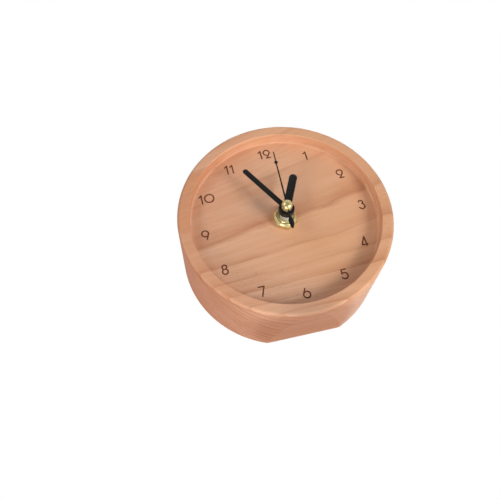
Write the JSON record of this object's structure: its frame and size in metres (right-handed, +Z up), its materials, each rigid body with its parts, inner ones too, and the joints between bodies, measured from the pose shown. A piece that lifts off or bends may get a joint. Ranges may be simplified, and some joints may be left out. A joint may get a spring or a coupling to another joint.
{
  "type": "desk clock",
  "caption": "Round wooden desk clock that leans back on a flat, with a recessed dial, black hands on a brass nut, and a geared quartz movement in the open rear pocket.",
  "frame": {"origin": "middle of the flat that the clock stands on", "axes": "+Z up, +X to 3 o'clock, the dial faces -Y and leans back by 5.2 degrees"},
  "size_m": [0.1, 0.0554, 0.0996],
  "materials": {
    "beech": "smooth, oiled beech with fine flecks",
    "brass": "polished brass",
    "black_paint": "matte black paint",
    "black_plastic": "moulded, fine texture",
    "white_plastic": "natural moulded",
    "silver": "bright",
    "steel": "plain strip and wire",
    "dark_steel": "dark magnet",
    "copper_wire": "enamelled copper",
    "board": "brown laminate",
    "black_resin": "cast resin",
    "rubber": "soft, matte",
    "cell_sleeve": "plain printed sleeve without marks"
  },
  "bodies": {
    "case": {"case_body": "beech", "gasket": "rubber", "hex_nut": "brass", "threaded_bushing": "brass", "movement_base": "black_plastic", "movement_cover": "black_plastic", "stator": "steel", "coil_core": "steel", "coil_bobbin": "white_plastic", "coil_winding": "copper_wire", "circuit_board": "board", "chip": "black_resin", "crystal": "silver", "movement_screws": "steel", "contact_positive": "steel", "contact_negative": "steel"},
    "second": {"second_wheel": "white_plastic", "second_hand": "black_paint", "second_hand_cap": "brass"},
    "minute": {"cannon_pinion": "white_plastic", "minute_hand": "black_paint"},
    "hour": {"hour_wheel": "silver", "hour_hand": "black_paint"},
    "centre": {"centre_wheel": "white_plastic"},
    "third": {"third_wheel": "white_plastic"},
    "intermediate": {"intermediate_wheel": "white_plastic"},
    "rotor": {"rotor": "dark_steel"},
    "motion": {"motion_wheel": "white_plastic"},
    "setting": {"setting_shaft": "white_plastic", "setting_knob": "black_plastic"},
    "cell": {"battery": "cell_sleeve"}
  },
  "joints": [
    {"name": "second_turn", "type": "hinge", "parent": "case", "child": "second", "pos_m": [0, -0.02431, 0.05059], "axis": [0, 0.9959, -0.0906], "continuous": true},
    {"name": "third_turn", "type": "hinge", "parent": "case", "child": "third", "pos_m": [-0.00934, 0.00147, 0.05366], "axis": [0, 0.9959, -0.0906], "continuous": true},
    {"name": "centre_turn", "type": "hinge", "parent": "case", "child": "centre", "pos_m": [0, -0.00021, 0.0484], "axis": [0, 0.9959, -0.0906], "continuous": true},
    {"name": "intermediate_turn", "type": "hinge", "parent": "case", "child": "intermediate", "pos_m": [0.00826, 0.004, 0.05498], "axis": [0, 0.9959, -0.0906], "continuous": true},
    {"name": "rotor_turn", "type": "hinge", "parent": "case", "child": "rotor", "pos_m": [0.01276, 0.0059, 0.06263], "axis": [0, 0.9959, -0.0906], "continuous": true},
    {"name": "minute_turn", "type": "hinge", "parent": "case", "child": "minute", "pos_m": [0, -0.02158, 0.05034], "axis": [0, 0.9959, -0.0906], "continuous": true},
    {"name": "hour_turn", "type": "hinge", "parent": "case", "child": "hour", "pos_m": [0, -0.01998, 0.0502], "axis": [0, 0.9959, -0.0906], "continuous": true},
    {"name": "motion_turn", "type": "hinge", "parent": "case", "child": "motion", "pos_m": [0, -0.00063, 0.05927], "axis": [0, 0.9959, -0.0906], "continuous": true},
    {"name": "setting_turn", "type": "hinge", "parent": "case", "child": "setting", "pos_m": [0, 0.01256, 0.06845], "axis": [0, 0.9959, -0.0906], "continuous": true},
    {"name": "cell_out", "type": "slide", "parent": "case", "child": "cell", "axis": [0, 0.9959, -0.0906], "range_m": [0, 0.03]}
  ],
  "couplings": [
    {"joint": "third_turn", "follows": "second_turn", "ratio": -0.13333},
    {"joint": "centre_turn", "follows": "second_turn", "ratio": 0.016667},
    {"joint": "intermediate_turn", "follows": "second_turn", "ratio": -6},
    {"joint": "rotor_turn", "follows": "second_turn", "ratio": 30},
    {"joint": "motion_turn", "follows": "minute_turn", "ratio": -0.33333},
    {"joint": "hour_turn", "follows": "minute_turn", "ratio": 0.083333},
    {"joint": "setting_turn", "follows": "minute_turn", "ratio": 1.2}
  ]
}
